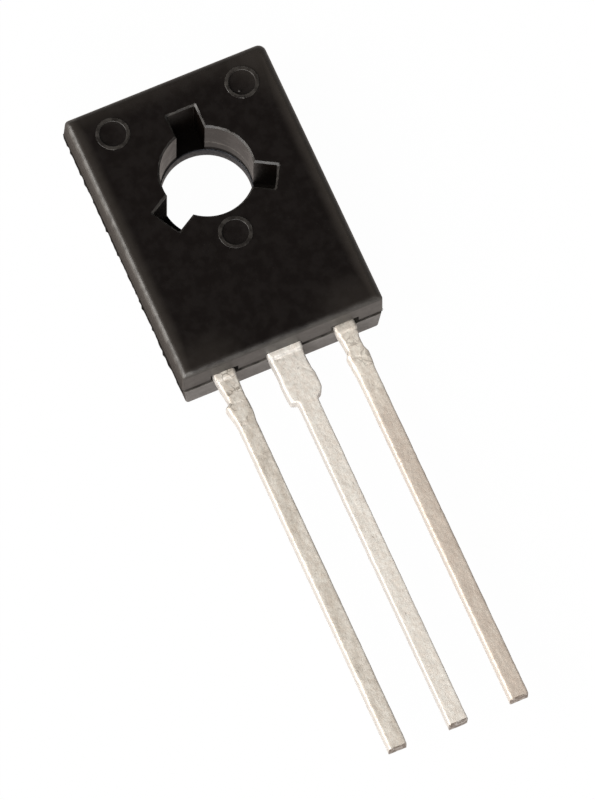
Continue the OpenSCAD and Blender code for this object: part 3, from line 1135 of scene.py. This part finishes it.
# %% Tin for the strip
def make_tin(name, pale, dull, streak_share, wrinkled, side_shade_share, tip_shade=0.0):
    material, tree, shader = new_material(name, 0.45, metallic=0.3)
    along = (1.5, 0.5, 1.5)
    streaks = use_group(
        tree, tint_group, Cloud_Size=0.45, Speck_Size=0.08, Speck_Amount=0.13, Stretch=along
    )
    mottle = use_group(tree, tint_group, Cloud_Size=0.16, Speck_Size=0.05, Speck_Amount=0.14)
    stained = (0.64 * dull[0], 0.54 * dull[1], 0.49 * dull[2], 1)
    deep_brown = (0.20, 0.165, 0.13, 1)
    colour = add_blend(tree, both(tree, streaks.outputs["Cloud"], streak_share), pale, dull)
    colour = add_blend(tree, both(tree, mottle.outputs["Cloud"], 0.34), colour, stained)
    pits = either(tree, streaks.outputs["Specks"], mottle.outputs["Specks"])
    colour = add_blend(tree, both(tree, pits, 0.35), colour, (0.18, 0.14, 0.11, 1))

    # Darker where the surface curves inwards
    hollow = add_node(tree, "ShaderNodeNewGeometry").outputs["Pointiness"]
    hollow_darkening = both(tree, ramp(tree, hollow, 0.487, 0.45), 0.7)
    colour = add_blend(tree, hollow_darkening, colour, deep_brown)

    where = place_in_mm(tree)
    here = split(tree, where)
    wander = add_node(tree, "ShaderNodeTexNoise", {"Vector": where, "Scale": 2.0}).outputs["Color"]
    bent = add_node(tree, "ShaderNodeVectorMath", {0: wander, 1: where}, operation="ADD").outputs[0]
    cells = add_node(
        tree, "ShaderNodeTexVoronoi", {"Vector": bent, "Scale": 1.5}, feature="DISTANCE_TO_EDGE"
    ).outputs["Distance"]
    broken = ramp(tree, add_noise(tree, where, 1.7), 0.42, 0.58)
    upper = ramp(tree, here["Y"], LEAD_END - 3.2, LEAD_END - 2.0, 0.2, 1.0)
    wrinkle = both(tree, both(tree, ramp(tree, cells, 0.065, 0.0), broken), upper)
    colour = add_blend(tree, both(tree, wrinkle, wrinkled), colour, deep_brown)
    fade = ramp(tree, here["Y"], LEAD_END - 1.6, LEAD_END - 4.5, 0.0, tip_shade)
    colour = add_blend(tree, fade, colour, stained)

    # Painted shade on the sides of each lead and along its lower edges
    side_shade = ramp(tree, facing(tree)["Z"], 0.96, 0.62, 0.0, side_shade_share)
    underside_shade = ramp(tree, here["Z"], LEAD_BOTTOM + 0.20, LEAD_BOTTOM + 0.06, 0.0, 0.35)
    shaded = either(tree, side_shade, underside_shade)
    colour = add_blend(tree, shaded, colour, (0.47, 0.45, 0.43, 1))
    smear = ramp(tree, add_noise(tree, where, 6.0), 0.35, 0.6, 0.45, 0.9)
    cut_end = both(tree, ramp(tree, here["Y"], LEAD_TIP + 0.04, LEAD_TIP + 0.015), smear)
    colour = add_blend(tree, cut_end, colour, (0.10, 0.07, 0.05, 1))
    bore = ramp(tree, from_hole_axis(tree, here), PLATE_HOLE + 0.10, PLATE_HOLE + 0.05)
    colour = add_blend(tree, bore, colour, (0.026, 0.029, 0.038, 1))
    rough = ramp(tree, mottle.outputs["Cloud"], 0.0, 1.0, 0.38, 0.52)
    grain = {"Grain_Size": 0.05, "Grain_Height": 0.004, "Wave_Size": 0.2, "Wave_Height": 0.014}
    finish_surface(tree, shader, colour, rough, Stretch=(1.2, 0.7, 1.2), **grain)
    return material


emitter_tin = make_tin(
    "emitter_tin",
    pale=(0.86, 0.81, 0.73, 1),
    dull=(0.64, 0.58, 0.50, 1),
    streak_share=0.75,
    wrinkled=0.8,
    side_shade_share=0.75,
)
base_tin = make_tin(
    "base_tin",
    pale=(0.96, 0.90, 0.80, 1),
    dull=(0.72, 0.65, 0.57, 1),
    streak_share=0.55,
    wrinkled=0.45,
    side_shade_share=0.55,
    tip_shade=0.45,
)
middle_tin = make_tin(
    "middle_tin",
    pale=(0.96, 0.92, 0.85, 1),
    dull=(0.83, 0.77, 0.69, 1),
    streak_share=0.6,
    wrinkled=0.05,
    side_shade_share=0.85,
)
dress(emitter_leg, emitter_tin)
dress(base_leg, base_tin)
dress(collector_strip, middle_tin)

# %% [markdown]
# ## What the case hides
#
# The chip, its solder and the two bond wires are never seen, but they are part of the object, so
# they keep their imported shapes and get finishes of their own.

# %% Chip, solder and wires
def make_inner(name, first, second, roughness, metallic, size):
    material, tree, shader = new_material(name, roughness, metallic)
    tint = use_group(tree, tint_group, Cloud_Size=size, Speck_Size=size / 5, Speck_Amount=0.1)
    colour = add_blend(tree, tint.outputs["Cloud"], first, second)
    grain = {"Grain_Size": size / 8, "Grain_Height": 0.001, "Wave_Size": size, "Wave_Height": 0.001}
    finish_surface(tree, shader, colour, **grain)
    return material


silicon = make_inner("silicon", (0.10, 0.11, 0.15, 1), (0.16, 0.16, 0.20, 1), 0.18, 0.2, 0.4)
solder = make_inner("solder", (0.40, 0.40, 0.41, 1), (0.52, 0.52, 0.54, 1), 0.45, 0.9, 0.3)
wire = make_inner("bond_wire", (0.76, 0.76, 0.77, 1), (0.84, 0.84, 0.85, 1), 0.35, 1.0, 0.2)
dress(nodes["silicon_chip"], silicon)
dress(nodes["chip_solder"], solder)
dress(nodes["emitter_wire"], wire)
dress(nodes["base_wire"], wire)

# %% [markdown]
# ## Tie the pieces to the part
#
# Nothing moves, so every piece rides on the one body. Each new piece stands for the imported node
# that it was modelled after.

# %% Ride and replace
for piece, node in (
    (case, "moulded_body"),
    (emitter_leg, "emitter_lead"),
    (base_leg, "base_lead"),
    (collector_strip, "collector_frame"),
):
    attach(piece, "root")
    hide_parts(node)
    print(piece.name, "stands for", node)

# %% [markdown]
# ## Floor and light
#
# The part lies on a white table in a light tent: white all round and below, darker overhead,
# which is why the black sides look grey where they mirror the table. The floor glows for what
# looks at it or mirrors it, and keeps only a trace of shadow.

# %% White floor
FLOOR_SIZE = 1.6
FLOOR_LEVEL = -0.00002

deselect()
bpy.ops.mesh.primitive_plane_add(size=FLOOR_SIZE, location=(0, 0, FLOOR_LEVEL))
floor = bpy.context.object
floor.name = "floor"
material = bpy.data.materials.new("white_table")
material.use_nodes = True
tree = material.node_tree
tree.nodes.clear()
matt = add_node(tree, "ShaderNodeBsdfDiffuse", {"Color": (0.86, 0.86, 0.86, 1)})
ray = add_node(tree, "ShaderNodeLightPath").outputs
tone = add_blend(tree, ray["Is Camera Ray"], (0.74, 0.66, 0.61, 1), (1, 1, 1, 1))
glow = add_node(tree, "ShaderNodeEmission", {"Color": tone})
seen = either(tree, ray["Is Camera Ray"], ray["Is Glossy Ray"])
seen = either(tree, seen, ray["Is Transmission Ray"])
share = both(tree, seen, 0.985)
mix = add_node(tree, "ShaderNodeMixShader", {0: share, 1: matt.outputs[0], 2: glow.outputs[0]})
add_node(tree, "ShaderNodeOutputMaterial", {"Surface": mix.outputs[0]})
floor.data.materials.append(material)
floor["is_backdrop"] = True

# %% Tent of light: bright at the horizon, dim overhead
world = bpy.data.worlds.new("light_tent")
bpy.context.scene.world = world
world.use_nodes = True
tree = world.node_tree
tree.nodes.clear()
where = add_node(tree, "ShaderNodeTexCoord").outputs["Generated"]
strength = ramp(tree, split(tree, where)["Z"], 0.15, 0.80, 0.55, 0.06)
warm = {"Color": (1, 0.985, 0.96, 1), "Strength": strength}
tent = add_node(tree, "ShaderNodeBackground", warm)
white = add_node(tree, "ShaderNodeBackground", {"Color": (1, 1, 1, 1)})
seen = add_node(tree, "ShaderNodeLightPath").outputs["Is Camera Ray"]
mix = add_node(tree, "ShaderNodeMixShader", {0: seen, 1: tent.outputs[0], 2: white.outputs[0]})
add_node(tree, "ShaderNodeOutputWorld", {"Surface": mix.outputs[0]})

# %% Soft lamps
LAMP_DISTANCE = 0.5
LAMP_SIZE = 0.35


def add_lamp(name, direction, power, tint=(1, 1, 1)):
    """Square soft lamp that looks at the part from a direction."""
    deselect()
    away = Vector(direction).normalized()
    aim = metres(0, -8, 1)
    bpy.ops.object.light_add(type="AREA", location=aim + away * LAMP_DISTANCE)
    lamp = bpy.context.object
    lamp.name = name
    lamp.rotation_euler = (-away).to_track_quat("-Z", "Y").to_euler()
    lamp.data.size = LAMP_SIZE
    lamp.data.energy = power
    lamp.data.color = tint


add_lamp("key", (-0.81, 0.05, 0.51), 3.2, (1.0, 0.98, 0.95))
add_lamp("front", (-0.45, -0.85, 0.50), 2.4)
print("lamps placed")

# %% [markdown]
# ## Camera
#
# A long lens from well above the lead side keeps the part's edges almost parallel. The camera
# stands on a line given by an azimuth and an elevation, looks at the part's middle, and is
# rolled a little.

# %% Place the camera
AZIMUTH = -25.73
ELEVATION = 69.59
ROLL = 2.18
DISTANCE = 347.44
AIM = (-0.32, -8.625, 1.275)

azimuth = math.radians(AZIMUTH)
elevation = math.radians(ELEVATION)
level = math.cos(elevation)
back = Vector((math.sin(azimuth) * level, -math.cos(azimuth) * level, math.sin(elevation)))
camera_data = bpy.data.cameras.new("camera")
camera_data.lens = 450
camera_data.sensor_width = 36
camera_data.clip_start = 0.01
camera_data.clip_end = 10
camera = bpy.data.objects.new("camera", camera_data)
bpy.context.scene.collection.objects.link(camera)
camera.location = metres(*AIM) + back * DISTANCE * MM
camera.rotation_mode = "QUATERNION"
level_view = (-back).to_track_quat("-Z", "Y")
camera.rotation_quaternion = level_view @ Quaternion((0, 0, 1), math.radians(ROLL))
bpy.context.scene.camera = camera
bpy.context.scene.view_settings.view_transform = "Standard"
print("camera at", [round(value, 4) for value in camera.location])

# %% [markdown]
# ## The dressed part's size
#
# The dressed part keeps the imported part's size, but for its flash and its tin. Its box is
# printed.

# %% Write the sizes
bpy.context.view_layer.update()
low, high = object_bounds()
print("dressed part:", [round(1000 * (b - a), 2) for a, b in zip(low, high)], "mm")
